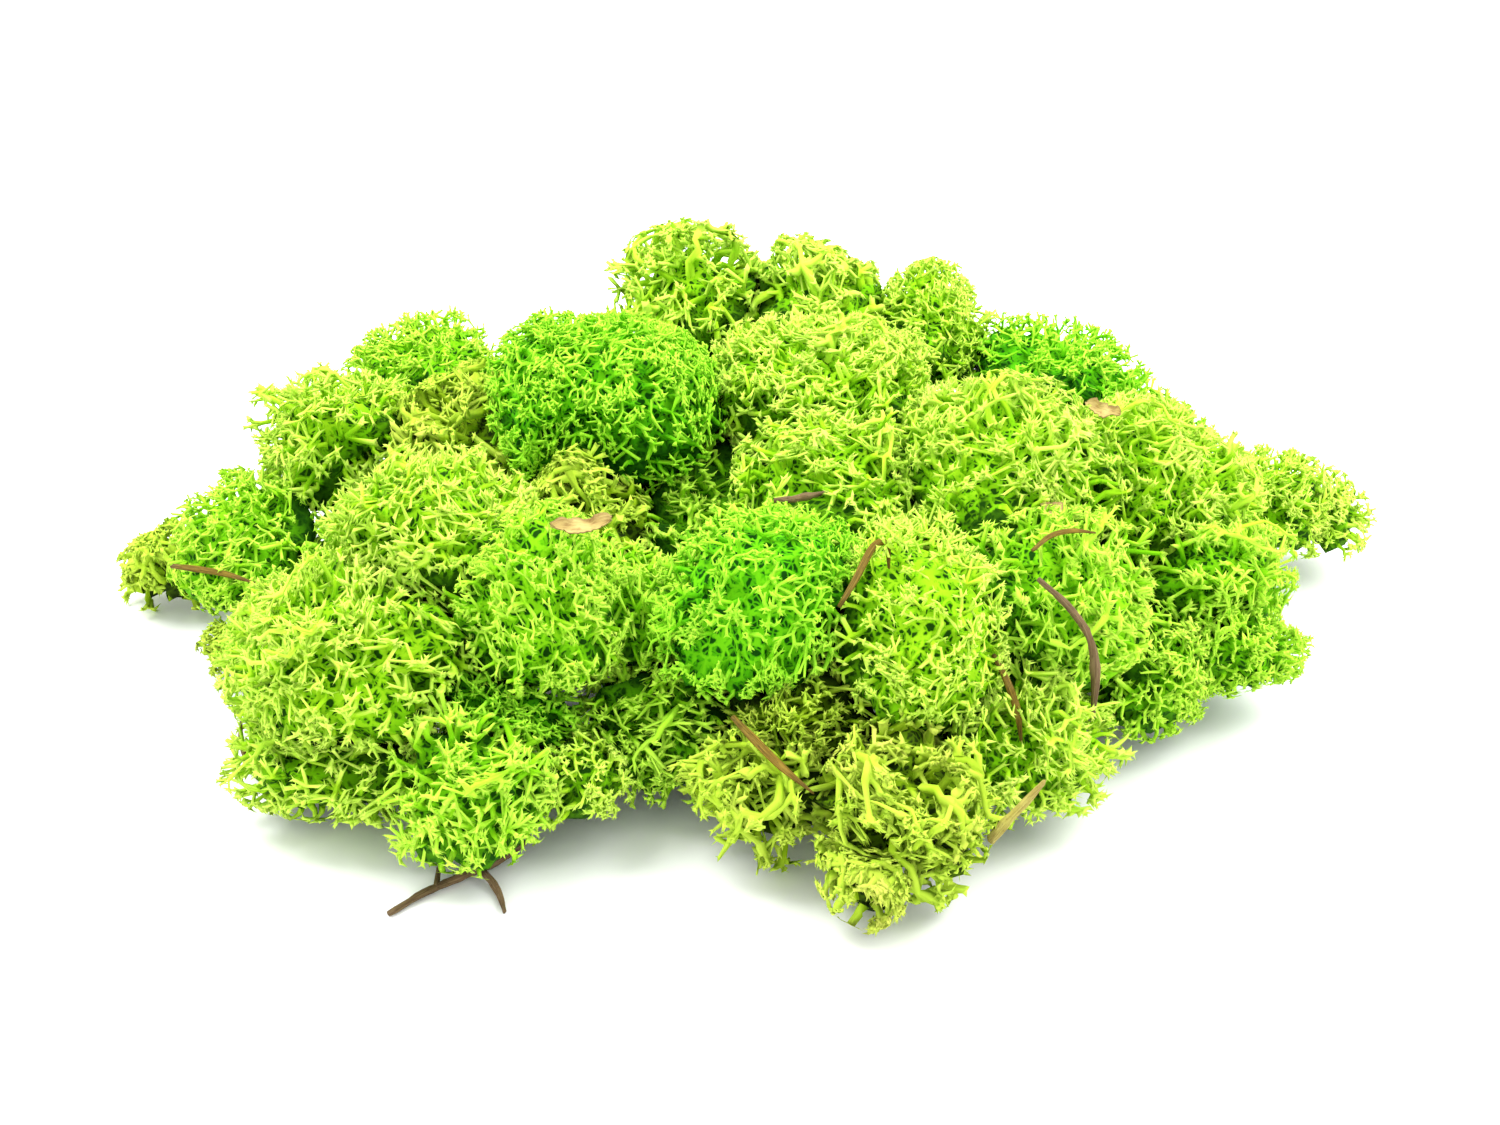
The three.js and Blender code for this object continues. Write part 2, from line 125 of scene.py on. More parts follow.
class Finish:
    def __init__(self, name, roughness, **shaderValues):
        self.material = bpy.data.materials.new(name)
        self.material.use_nodes = True
        self.tree = self.material.node_tree
        self.shader = self.tree.nodes["Principled BSDF"]
        self.set("Roughness", roughness)
        for socketName, value in shaderValues.items():
            self.set(socketName.replace("_", " "), value)

    def node(self, kind, settings=None, **inputs):
        made = self.tree.nodes.new("ShaderNode" + kind)
        for key, value in (settings or {}).items():
            if key == "stops":
                self.rampStops(made.color_ramp, value)
            else:
                setattr(made, key, value)
        for key, value in inputs.items():
            self.connect(made.inputs[key], value)
        return made

    def rampStops(self, ramp, stops):
        while len(ramp.elements) < len(stops):
            ramp.elements.new(1)
        for element, (position, colour) in zip(ramp.elements, stops):
            element.position = position
            element.color = linear(colour)

    def connect(self, entry, value):
        if isinstance(value, Socket):
            value = value.value
        if isinstance(value, bpy.types.NodeSocket):
            self.tree.links.new(value, entry)
        else:
            entry.default_value = value

    def set(self, socketName, value):
        self.connect(self.shader.inputs[socketName], value)

    def socket(self, output):
        return Socket(self.tree, output)

    def mix(self, share, first, second, blend="MIX"):
        made = self.tree.nodes.new("ShaderNodeMix")
        made.data_type = "RGBA"
        made.blend_type = blend
        self.connect(made.inputs[0], share)
        self.connect(made.inputs[6], linear(first) if isinstance(first, tuple) else first)
        self.connect(made.inputs[7], linear(second) if isinstance(second, tuple) else second)
        return self.socket(made.outputs[2])


# An sRGB colour from 0 to 255 as Blender's linear one
def linear(colour):
    parts = [value / 255 for value in colour[:3]]
    return tuple(
        value / 12.92 if value <= 0.04045 else ((value + 0.055) / 1.055) ** 2.4 for value in parts
    ) + (1.0,)


# Lichen colours: the heart and deep colours are painted shade, darkest in the heart between the branches;
# body is the lichen's own green, and the lighter, yellower tips are partly its own colour and partly painted
# light for light shining through the thin tips
lichenColours = {
    "emerald_lichen": {
        "heart": (14, 66, 2),
        "shadedDeep": (76, 168, 4),
        "body": (128, 214, 20),
        "tip": (178, 242, 60),
        "warm": (190, 240, 74),
    },
    "leaf_green_lichen": {
        "heart": (20, 66, 2),
        "shadedDeep": (104, 182, 6),
        "body": (156, 222, 26),
        "tip": (194, 242, 74),
        "warm": (204, 238, 90),
    },
    "lime_lichen": {
        "heart": (26, 66, 2),
        "shadedDeep": (120, 188, 8),
        "body": (176, 224, 34),
        "tip": (206, 242, 90),
        "warm": (212, 234, 106),
    },
    "olive_lichen": {
        "heart": (26, 44, 2),
        "shadedDeep": (94, 130, 4),
        "body": (146, 182, 20),
        "tip": (194, 226, 74),
        "warm": (204, 206, 94),
    },
}


# Painted light on the heart: how much light its fine branches are painted as catching, two nets over each
# other, which fade into painted shade in the clefts. A stem is even
def paintedHeartLight(finish, growth):
    place = finish.node("TexCoord").outputs["Object"]
    sway = finish.node("TexNoise", Vector=place, Scale=330.0, Detail=2.0).outputs["Color"]
    bent = finish.node("VectorMath", {"operation": "SCALE"}, Vector=sway, Scale=0.0022)
    moved = finish.node("VectorMath", {"operation": "ADD"})
    finish.connect(moved.inputs[0], place)
    finish.connect(moved.inputs[1], bent.outputs[0])
    nets = []
    for scale, width in ((340.0, 0.15), (600.0, 0.15)):
        cells = finish.node(
            "TexVoronoi",
            {"feature": "DISTANCE_TO_EDGE"},
            Vector=moved.outputs[0],
            Scale=scale,
        )
        nets.append(1 - finish.socket(cells.outputs["Distance"]).between(width * 0.3, width))
    stem = growth.between(0.1, 0.2)
    return (nets[0] + 0.45 * nets[1]).clamp() * growth.between(0.0, 0.1) * (1 - stem) + 0.5 * stem


def lichenFinish(slotName, colours):
    finish = Finish(slotName, 0.9, Specular_IOR_Level=0.1)
    place = finish.node("UVMap", {"uv_map": "OFBake"})
    parts = finish.node("SeparateXYZ", Vector=place.outputs["UV"])
    growth = finish.socket(parts.outputs["X"])
    tint = finish.socket(parts.outputs["Y"])
    net = paintedHeartLight(finish, growth)
    # Painted shade: where the net's painted light is low the colour is the dark heart colour, where it is lit
    # it runs to the deep and body colours; lower branch parts are painted darker than the tips
    shaded = finish.mix(net.between(0.0, 0.4), colours["heart"], colours["shadedDeep"])
    root = finish.mix(net.between(0.5, 1.0) * 0.7, shaded, colours["body"])
    inner = finish.mix(growth.between(0.15, 0.45), root, colours["body"])
    green = finish.mix(growth.between(0.4, 0.9), inner, colours["tip"])
    warmth = tint.between(0.45, 0.95) * growth.between(0.3, 0.9)
    finish.set("Base Color", finish.mix(warmth * 0.7, green, colours["warm"]))
    return finish.material


lichenMaterials = {name: lichenFinish(name, values) for name, values in lichenColours.items()}

# Heads by how they grow, in millimetres. The layer is the branches' depth over the heart. A stem
# takes what room its forks leave, and each fork has a half width, a length, how steeply it parts
# from the branch below, how far it wanders and how much it turns back outwards.
habits = {
    "crown": {
        "layer": 7.5,
        "spacing": 3.1,
        "kept": 0.74,
        "leastFree": 0.2,
        "stem": {"width": 0.55, "length": 1.2, "part": 0.55, "wander": 0.3, "outward": 0.4},
        "forks": [
            {"width": 0.46, "length": 3.2, "part": 0.5, "wander": 0.3, "outward": 0.1},
            {"width": 0.37, "length": 2.1, "part": 0.6, "wander": 0.35, "outward": 0.1},
            {"width": 0.28, "length": 1.2, "part": 0.6, "wander": 0.35, "outward": 0.1},
        ],
        "sprigs": 0.08,
        "runners": {"count": 0},
        "tip": [0.5, 1.0],
        "warp": [0.8, 6.0],
        "cluster": [2.2, 11.0],
    },
    "net": {
        "layer": 8.5,
        "spacing": 2.72,
        "kept": 0.8,
        "leastFree": 0.2,
        "stem": {"width": 0.64, "length": 1.8, "part": 0.35, "wander": 0.4, "outward": 0.35},
        "forks": [
            {"width": 0.52, "length": 3.1, "part": 0.45, "wander": 0.4, "outward": 0.05},
            {"width": 0.36, "length": 2.3, "part": 0.55, "wander": 0.45, "outward": 0.0},
        ],
        "sprigs": 0.12,
        "runners": {"count": 3, "width": 0.66, "length": 20, "side": 0.35},
        "tip": [0.8, 1.6],
        "warp": [1.2, 8.0],
        "cluster": [2.8, 13.0],
    },
    "coarse": {
        "layer": 12.0,
        "spacing": 3.9,
        "kept": 0.76,
        "leastFree": 0.2,
        "stem": {"width": 1.0, "length": 2.4, "part": 0.3, "wander": 0.5, "outward": 0.3},
        "forks": [
            {"width": 0.8, "length": 4.2, "part": 0.4, "wander": 0.5, "outward": 0.0},
            {"width": 0.6, "length": 3.2, "part": 0.45, "wander": 0.5, "outward": 0.0},
            {"width": 0.4, "length": 1.8, "part": 0.5, "wander": 0.5, "outward": 0.0},
        ],
        "sprigs": 0.08,
        "runners": {"count": 9, "width": 0.95, "length": 28, "side": 0.2},
        "tip": [0.7, 1.4],
        "warp": [1.8, 9.0],
        "cluster": [3.0, 13.0],
    },
    "under": {
        "layer": 8.0,
        "spacing": 4.2,
        "kept": 0.76,
        "leastFree": 0.3,
        "stem": {"width": 0.8, "length": 1.8, "part": 0.4, "wander": 0.35, "outward": 0.4},
        "forks": [
            {"width": 0.6, "length": 3.4, "part": 0.45, "wander": 0.4, "outward": 0.05},
            {"width": 0.42, "length": 2.6, "part": 0.5, "wander": 0.45, "outward": 0.0},
        ],
        "sprigs": 0.06,
        "runners": {"count": 0},
        "tip": [1.0, 2.0],
        "warp": [1.2, 8.0],
        "cluster": [2.0, 13.0],
    },
}

habitOf = {
    "crown": (
        "front_left_bud left_ridge left_cleft centre_dome olive_strip centre_right "
        "right_dome_front right_dome_side far_right far_right_tip green_knob back_right_dome "
        "back_top_right emerald_top left_back_dome left_flank left_low left_scrap"
    ).split(),
    "coarse": (
        "front_tip_left front_tip front_toe back_top_left back_top_middle olive_valley "
        "left_hollow left_fringe"
    ).split(),
    "under": (
        "under_left under_middle under_right under_back under_back_left under_back_right"
    ).split(),
}


# The convex space of a head, and a point well inside it
class Space:
    def __init__(self, node):
        shape = bmesh.new()
        for vertex in node.data.vertices:
            shape.verts.new(vertex.co)
        bmesh.ops.remove_doubles(shape, verts=shape.verts, dist=0.01 * mm)
        bmesh.ops.convex_hull(shape, input=shape.verts)
        loose = [vertex for vertex in shape.verts if not vertex.link_faces]
        bmesh.ops.delete(shape, geom=loose, context="VERTS")
        shape.normal_update()
        area = sum(face.calc_area() for face in shape.faces)
        middles = (face.calc_center_median() * face.calc_area() for face in shape.faces)
        self.centre = sum(middles, Vector()) / area
        self.size = math.sqrt(area / (4 * math.pi))
        self.tree = BVHTree.FromBMesh(shape)
        shape.verts.index_update()
        self.corners = [vertex.co.copy() for vertex in shape.verts]
        self.walls = np.array([face.normal for face in shape.faces])
        self.offsets = np.max(np.array(self.corners) @ self.walls.T, axis=0)
        self.faces = [[vertex.index for vertex in face.verts] for face in shape.faces]
        shape.free()

    def reach(self, direction):
        hit = self.tree.ray_cast(self.centre, direction)
        return hit[3] if hit[0] else 0.0

    # Draws places that stick out of the space back to about a limit outside it
    def hold(self, places, limit):
        outside = np.max(places @ self.walls.T - self.offsets, axis=1)
        kept = limit * (1 - np.exp(-np.maximum(outside, 0) / limit))
        arms = places - np.array(self.centre)
        lengths = np.linalg.norm(arms, axis=1)
        pulled = np.where(outside > 0, outside - kept, 0)
        return places - arms * (pulled / lengths)[:, None]


# The dense middles of all heads together, which hide what is behind them
def middlesTree(spaces):
    layer = 4.5 * mm
    corners, faces = [], []
    for space in spaces:
        faces += [[index + len(corners) for index in face] for face in space.faces]
        for corner in space.corners:
            arm = corner - space.centre
            corners.append(space.centre + arm * max(0.5, 1 - layer / arm.length))
    return BVHTree.FromPolygons(corners, faces)


# Of the ways out round the outward one, the share that is free, and the share that another head
# closes rather than the ground. Last, how far the next head is straight ahead
def openness(point, outward):
    aside = outward.orthogonal().normalized()
    others = [Matrix.Rotation(math.radians(45 * k), 3, outward) @ aside for k in range(8)]
    ways = [outward] + [(outward + 1.5 * other).normalized() for other in others]
    crowded = [middles.ray_cast(point, way, 60 * mm)[0] is not None for way in ways]
    grounded = [point.z + way.z * 15 * mm < 0 for way in ways]
    free = sum(not (a or b) for a, b in zip(crowded, grounded))
    ahead = middles.ray_cast(point, outward, 60 * mm)[3]
    return free / len(ways), sum(crowded) / len(ways), ahead or 60 * mm


def placeFace(face, target, along, halfWidth):
    corner = face.verts[0].co - face.calc_center_median()
    lead = corner - along * corner.dot(along)
    lead = lead.normalized() * halfWidth
    across = along.cross(lead)
    for k, vertex in enumerate(face.verts):
        turn = 2 * math.pi * k / len(face.verts)
        vertex.co = target + lead * math.cos(turn) + across * math.sin(turn)


class Grower:
    def __init__(self, name, space, habit, seed):
        self.name = name
        self.space = space
        self.habit = habit
        self.draw = random.Random(seed)
        self.shape = bmesh.new()
        layers = self.shape.verts.layers.float
        for layerName in ("growth", "tint", "extra"):
            layers.new(layerName)
        self.growth, self.tint, self.extra = (layers[key] for key in ("growth", "tint", "extra"))

    def wanderFrom(self, direction, amount):
        aside = Vector([self.draw.gauss(0, 1) for _ in range(3)])
        return (direction + amount * aside).normalized()

    # The skin's distance, drawn in where two clusters of branches meet
    def skin(self, direction):
        depth, size = self.habit["cluster"]
        reach = self.space.reach(direction)
        place = (self.space.centre + direction * reach) / (size * mm)
        return reach - depth * mm * max(0.0, 1 - abs(noise.noise(place)) * 5) - 0.7 * mm

    # The matted heart, which swells where a neighbour's heart meets it. Its colour is painted shade, dark in
    # clefts and low down
    def heart(self):
        detail = 2 + (self.space.size > 12 * mm) + (self.space.size > 24 * mm)
        bmesh.ops.create_icosphere(self.shape, subdivisions=detail, radius=1)
        for vertex in self.shape.verts:
            direction = vertex.co.normalized()
            reach = self.space.reach(direction)
            point = self.space.centre + direction * reach
            _, crowded, ahead = openness(point, direction)
            joined = min(max((14 * mm - ahead) / (6 * mm), 0), 1)
            swell = max(min(max((crowded - 0.4) / 0.35, 0), 1), joined)
            lower = min(max((-direction.z - 0.15) / 0.4, 0), 1)
            bare = max(0.45 * reach, reach - self.habit["layer"] * (1 - 0.6 * lower) * mm)
            rough = 1 + 0.12 * noise.noise(direction * 5) + 0.1 * noise.noise(direction * 13)
            size = (bare + (reach - bare) * 0.8 * swell) * rough
            size += self.draw.random() ** 2 * 2.4 * mm
            vertex.co = self.space.centre + direction * size
            # Painted shade: the heart's growth value, which lights its painted net, falls to dark in crowded
            # clefts and towards the floor, and is lighter on open tops
            high = min(max((vertex.co.z - 6 * mm) / (26 * mm), 0), 1)
            vertex[self.growth] = 0.1 * min(max((0.65 - crowded) / 0.45, 0.05), 0.95) * high
            vertex[self.tint] = self.draw.uniform(0.02, 0.98)

    # Faces of the heart that a stem grows from, evenly apart: open ones, and half hidden ones.
    # A stem in a cleft grows longer, so that the heads join into one mound
    def sites(self):
        steepestDown, deepFill, mostFill = -0.6, 11 * mm, 5 * mm
        leastFree = self.habit["leastFree"]
        apart = self.habit["spacing"] * mm * max(0.45, min(1, self.space.size / (17 * mm)))
        faces = list(self.shape.faces)
        self.draw.shuffle(faces)
        taken, openOnes, hiddenOnes, passed = [], [], [], {}
        for face, share in [(face, 1.15) for face in faces] + [(face, 0.85) for face in faces]:
            middle = face.calc_center_median()
            outward = (middle - self.space.centre).normalized()
            near = any((middle - other).length < apart * share for other in taken)
            if outward.z < steepestDown or near:
                continue
            if face not in passed:
                onSkin = self.space.centre + outward * self.space.reach(outward)
                passed[face] = openness(onSkin, outward)
            free, crowded, ahead = passed[face]
            if free > leastFree:
                taken.append(middle)
                (openOnes if free > 0.45 else hiddenOnes).append(face)
                fill = ahead * 0.4 if ahead < 14 * mm else deepFill * max(0.0, crowded - 0.25)
                for vertex in face.verts:
                    vertex[self.extra] = min(mostFill, fill)
        return openOnes, hiddenOnes

    # Long stems that run over the skin of a head and give off branches on the way
    def runners(self):
        values = self.habit["runners"]
        parts = [self.habit["stem"]] + self.habit["forks"]
        steps = 7
        twigs = []
        for _ in range(values["count"]):
            start = self.wanderFrom(Vector((0, 0, 0.7)), 0.55)
            aside = start.cross(self.wanderFrom(self.space.centre.normalized(), 0.5)).normalized()
            size = self.space.size
            length = min(values["length"] * mm, 1.3 * size) * self.draw.uniform(0.7, 1.1)
            turns = [length / size * k / steps for k in range(steps + 1)]
            ways = [Matrix.Rotation(turn, 3, aside) @ start for turn in turns]
            halfway = ways[steps // 2]
            if openness(self.space.centre + halfway * self.space.reach(halfway), halfway)[0] < 0.6:
                continue
            circle = bmesh.ops.create_circle(self.shape, cap_ends=True, radius=1, segments=4)
            bud = circle["verts"][0].link_faces[0]
            place = None
            for k, way in enumerate(ways):
                share = 0.66 + 0.36 * math.sin(math.pi * min(0.62, k / steps))
                radius = self.space.reach(way) * (share + self.draw.uniform(0, 0.03))
                target = self.space.centre + self.wanderFrom(way, 0.04) * radius
                along = (target - place).normalized() if place else way
                if k:
                    bud = bmesh.ops.extrude_discrete_faces(self.shape, faces=[bud])["faces"][0]
                width = values["width"] * (1 - 0.45 * k / steps) * self.draw.uniform(0.9, 1.15)
                placeFace(bud, target, along, width * mm)
                for vertex in bud.verts:
                    vertex[self.growth] = 0.48 + 0.25 * k / steps + self.draw.uniform(-0.04, 0.04)
                    vertex[self.extra] = 2.5 * mm
                self.tintStems([bud])
                place = target
                if 1 < k < steps:
                    around = [face for edge in bud.edges for face in edge.link_faces if face != bud]
                    twigs += [face for face in around if self.draw.random() < values["side"]]
            twigs.append(bud)
        self.shape.normal_update()
        twigs = [
            face
            for face in twigs
            if face.normal.dot(face.calc_center_median() - self.space.centre) > -0.3 * face.normal.length
        ]
        if twigs:
            self.branch(self.feet(twigs, parts[1]["width"] * 1.2, 0.4), parts, 1)

    # The flared foot of each stem or sprig
    def feet(self, faces, width, height=0.7):
        made = bmesh.ops.extrude_discrete_faces(self.shape, faces=faces)["faces"]
        self.shape.normal_update()
        for face in made:
            middle = face.calc_center_median()
            placeFace(face, middle + face.normal * height * mm, face.normal.copy(), width * mm)
        return made

    # Painted shade: how light a branch is coloured, lighter with growth towards its tips and darker the
    # deeper it lies under the skin
    def lightAt(self, depth, growth):
        return 0.5 * growth + 0.5 * min(max(1 - depth / (self.habit["layer"] * mm), 0.1), 0.95)

    # Winds stems up to where they fork, and returns their ends and the sides that sprigs grow from
    def wind(self, faces, parts):
        bends, stem = 3, parts[0]
        height = 0.8 * mm * sum(part["length"] for part in parts[1:])
        sides = []
        for bend in range(bends):
            faces = bmesh.ops.extrude_discrete_faces(self.shape, faces=faces)["faces"]
            self.shape.normal_update()
            for face in faces:
                middle = face.calc_center_median()
                radius = (middle - self.space.centre).length
                outward = (middle - self.space.centre) / radius
                along = self.wanderFrom(face.normal.lerp(outward, stem["outward"]), stem["wander"])
                depth = self.skin(outward) + face.verts[0][self.extra] - radius
                length = (max(depth - height, 0) + stem["length"] * mm) / (bends - bend)
                length *= self.draw.uniform(0.7, 1.2)
                placeFace(face, middle + along * length, along, stem["width"] * (1.1 - 0.1 * bend) * mm)
                growth = 0.16 + 0.1 * bend
                for vertex in face.verts:
                    vertex[self.growth] = self.lightAt(depth, growth) + self.draw.uniform(-0.04, 0.04)
                if bend:
                    around = {other for edge in face.edges for other in edge.link_faces} - {face}
                    sides += [other for other in around if self.draw.random() < self.habit["sprigs"]]
        return faces, sides

    def extend(self, faces, parts, level):
        part = parts[level]
        height = 0.8 * mm * sum(other["length"] for other in parts[level:])
        growth = 0.2 + 0.62 * level / (len(parts) - 1)
        made = bmesh.ops.extrude_discrete_faces(self.shape, faces=faces)["faces"]
        self.shape.normal_update()
        for face in made:
            middle = face.calc_center_median()
            radius = (middle - self.space.centre).length
            outward = (middle - self.space.centre) / radius
            along = self.wanderFrom(face.normal.lerp(outward, part["outward"]), part["wander"])
            depth = self.skin(outward) + face.verts[0][self.extra] - radius
            length = part["length"] * mm * min(max(depth / height, 0.35), 1.5)
            length *= self.draw.uniform(0.75, 1.25)
            width = part["width"] * mm * self.draw.uniform(0.85, 1.15)
            placeFace(face, middle + along * length, along, width)
            for vertex in face.verts:
                vertex[self.growth] = self.lightAt(depth - length, growth) + self.draw.uniform(-0.05, 0.05)
        return made

    def split(self, faces, lift, kept=1.0):
        made = bmesh.ops.poke(self.shape, faces=faces, offset=lift, use_relative_offset=True)
        return [face for face in made["faces"] if self.draw.random() < kept]

    def tips(self, faces):
        shortest, longest = self.habit["tip"]
        self.shape.normal_update()
        normals = [face.normal.copy() for face in faces]
        made = bmesh.ops.poke(self.shape, faces=faces)["verts"]
        for vertex, normal in zip(made, normals):
            along = self.wanderFrom(normal, 0.3)
            vertex.co += along * self.draw.uniform(shortest, longest) * mm
            vertex[self.growth] = self.draw.uniform(0.9, 0.99)

    # One colour for a stem and all that grows from it, and some of it shared with what is near
    def tintStems(self, faces):
        for face in faces:
            near = noise.noise(face.verts[0].co / (14 * mm))
            stemTint = 0.5 + 0.55 * near + self.draw.uniform(-0.2, 0.2)
            for vertex in face.verts:
                vertex[self.tint] = min(max(stemTint, 0.06), 0.94) + self.draw.uniform(-0.03, 0.03)

    # Grows buds by one fork after another, and their tips
    def branch(self, buds, parts, firstLevel):
        for level in range(firstLevel, len(parts)):
            if level > firstLevel:
                buds = self.split(buds, parts[level]["part"], self.habit["kept"])
            buds = self.extend(buds, parts, level)
        self.tips(self.split(buds, 0.5, 0.78))

    def stand(self, sites, parts):
        stems, sides = self.wind(self.feet(sites, parts[0]["width"] * 1.4), parts)
        self.tintStems(stems)
        self.branch(self.split(stems, parts[0]["part"], 0.9), parts, 1)
        if sides:
            self.branch(self.feet(sides, parts[-1]["width"] * 1.2, 0.4), parts, len(parts) - 1)

    def grow(self):
        self.heart()
        openOnes, hiddenOnes = self.sites()
        self.stand(openOnes, [self.habit["stem"]] + self.habit["forks"])
        self.stand(hiddenOnes, [self.habit["stem"]] + self.habit["forks"][:1])
        self.runners()
        self.warp()
        return len(openOnes), len(hiddenOnes)

    # Bends the branches together, more towards their tips, and keeps them off the floor
    def warp(self):
        most, size = self.habit["warp"]
        for vertex in self.shape.verts:
            pull = noise.noise_vector(vertex.co / (size * mm))
            sway = noise.noise_vector(vertex.co / (24 * mm))
            vertex.co += pull * most * mm * vertex[self.growth] * 1.6 + sway * 3.5 * mm
        limit = 0.7 * mm + np.array([vertex[self.extra] for vertex in self.shape.verts])
        held = self.space.hold(np.array([vertex.co for vertex in self.shape.verts]), limit)
        for vertex, place in zip(self.shape.verts, held):
            vertex.co = place
            vertex.co.z = max(vertex.co.z, 0.25 * mm)

    def finish(self, material):
        self.shape.normal_update()
        mesh = bpy.data.meshes.new(self.name + "_lichen")
        self.shape.to_mesh(mesh)
        self.shape.free()
        mesh.shade_smooth()
        mesh.materials.append(material)
        growth = np.zeros(len(mesh.vertices), np.float32)
        tint = growth.copy()
        mesh.attributes["growth"].data.foreach_get("value", growth)
        mesh.attributes["tint"].data.foreach_get("value", tint)
        corners = np.zeros(len(mesh.loops), np.int32)
        mesh.loops.foreach_get("vertex_index", corners)
        places = np.stack([growth[corners], tint[corners]], 1)
        layer = mesh.uv_layers.new(name="OFBake")
        layer.data.foreach_set("uv", np.clip(places, 0.001, 0.999).ravel())
        piece = bpy.data.objects.new(self.name + "_lichen", mesh)
        bpy.context.scene.collection.objects.link(piece)
        return piece


slotOf = {row["node"]: row["material_slot"] for row in frame["record"]["subparts"]}
headNames = [name for name in sorted(frame["nodes"]) if slotOf[name] in lichenMaterials]
spaces = {name: Space(frame["nodes"][name]) for name in headNames}
middles = middlesTree(spaces.values())
print("spaces of the heads:", len(spaces))

total = 0
for seed, name in enumerate(headNames):
    habitName = next((key for key, names in habitOf.items() if name in names), "net")
    grower = Grower(name, spaces[name], habits[habitName], 500 + seed)
    openOnes, hiddenOnes = grower.grow()
    piece = grower.finish(lichenMaterials[slotOf[name]])
    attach(piece, "root")
    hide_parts(name)
    triangles = sum(len(polygon.vertices) - 2 for polygon in piece.data.polygons)
    total += triangles
    print(f"{name}: {habitName}, {openOnes} + {hiddenOnes} stems, {triangles} triangles")
print("lichen triangles:", total)

# What was gathered with the lichen. Points run from the thick end to the point, in millimetres,
# with half widths beside them. Each piece is set in the middle of its CAD solid's place, or lifted
# from it onto the branches that have grown over that.
rods = {
    "needle_left_fringe": {
        "kind": "needle",
        "shoots": [
            ([(-121, -2, 15), (-115, -5, 16), (-108, -8, 16.5), (-101, -11, 16)], (0.7, 0.9, 0.8, 0.2)),
        ],
    },
    "needle_pair_left": {
        "kind": "needle",
        "shoots": [
            ([(-105, -53, 3), (-103, -55.5, 8), (-100, -58, 13), (-96, -61, 18)], (0.8, 0.8, 0.7, 0.2)),
            ([(-104.5, -53, 3), (-104.5, -55, 8), (-104, -57, 13), (-102.5, -60, 19)], (0.8, 0.7, 0.6, 0.2)),
        ],
    },
    "ground_twig": {
        "kind": "twig",
        "shoots": [
            (
                [(-67, -100, 1.1), (-61, -94, 1.3), (-55, -90, 1.6), (-48, -86.5, 2.6), (-43, -83, 4.4)],
                (0.6, 0.75, 0.85, 0.8, 0.5),
            ),
            ([(-59, -93, 1.4), (-58.6, -88, 3), (-55.5, -85.5, 4.6)], (0.55, 0.45, 0.25)),
            ([(-51, -88, 2), (-47.5, -93, 1.4), (-45.5, -99.5, 1.2)], (0.7, 0.6, 0.35)),
        ],
    },
    "needle_front": {
        "kind": "needle",
        "shoots": [([(-3, -84, 35), (1, -87, 32), (6, -90, 28), (12, -93, 24)], (0.6, 1.0, 0.85, 0.2))],
    },
    "needle_dark_middle": {
        "kind": "twig",
        "lifted": (0, 5, 7.5),
        "shoots": [([(5, -36, 70), (8.5, -36.5, 70.5), (12, -36, 71), (16, -34, 71)], (0.5, 0.8, 0.7, 0.2))],
    },
    "needle_bent_middle": {
        "kind": "needle",
        "shoots": [
            (
                [(17, -78, 56), (20, -75, 60), (23.5, -71, 65), (26, -70, 65), (26.5, -72, 61)],
                (0.5, 0.75, 0.8, 0.7, 0.3),
            ),
        ],
    },
    "twig_curved_right": {
        "kind": "twig",
        "shoots": [
            (
                [(55, -66, 54), (60.5, -67, 49), (65, -69, 43), (66.5, -72, 36), (66, -76, 29)],
                (0.55, 0.75, 0.8, 0.7, 0.4),
            ),
        ],
    },
    "needle_right": {
        "kind": "needle",
        "shoots": [([(46.5, -88, 50), (49, -91, 46), (51, -93.5, 41), (52, -95, 35)], (0.5, 0.8, 0.8, 0.3))],
    },
    "stalk_front_right": {
        "kind": "stalk",
        "shoots": [([(44.5, -84, 10), (47, -84, 14), (50, -85, 19), (53, -86, 24.5)], (1.1, 1.25, 1.0, 0.5))],
    },
    "needle_thin_right": {
        "kind": "needle",
        "shoots": [([(54, -56, 72), (58, -52, 73), (62.5, -50, 73), (67, -49, 72)], (0.45, 0.65, 0.6, 0.2))],
    },
}

# A needle is half round with a groove along its flat side. A twig is rough and a little angular
rodKinds = {
    "needle": {"sides": 8, "flat": 0.62, "groove": 0.3, "rough": 0.03, "twist": 0.6},
    "twig": {"sides": 9, "flat": 0.95, "groove": 0.0, "rough": 0.2, "twist": 1.4},
    "stalk": {"sides": 9, "flat": 0.8, "groove": 0.1, "rough": 0.1, "twist": 0.5},
}


# A smooth line through points, as places with a width each
def smoothLine(points, widths, perSpan=5):
    stations = [Vector(point) for point in points]
    ahead = [stations[0] * 2 - stations[1]] + stations + [stations[-1] * 2 - stations[-2]]
    line = []
    for k in range(len(stations) - 1):
        before, start, finish, after = ahead[k : k + 4]
        for step in range(perSpan):
            t = step / perSpan
            place = (
                start * 2
                + (finish - before) * t
                + (before * 2 - start * 5 + finish * 4 - after) * t**2
                + (start * 3 - before - finish * 3 + after) * t**3
            ) * 0.5
            line.append((place, widths[k] + (widths[k + 1] - widths[k]) * t))
    return line + [(stations[-1], widths[-1])]


# The place, direction and size of a cross section, as one matrix
def sectionFrame(place, along, size, turn):
    turned = along.to_track_quat("Z", "Y").to_matrix().to_4x4()
    spin = Matrix.Rotation(turn, 4, "Z")
    return Matrix.Translation(place) @ turned @ spin @ Matrix.Diagonal((size, size, size, 1))


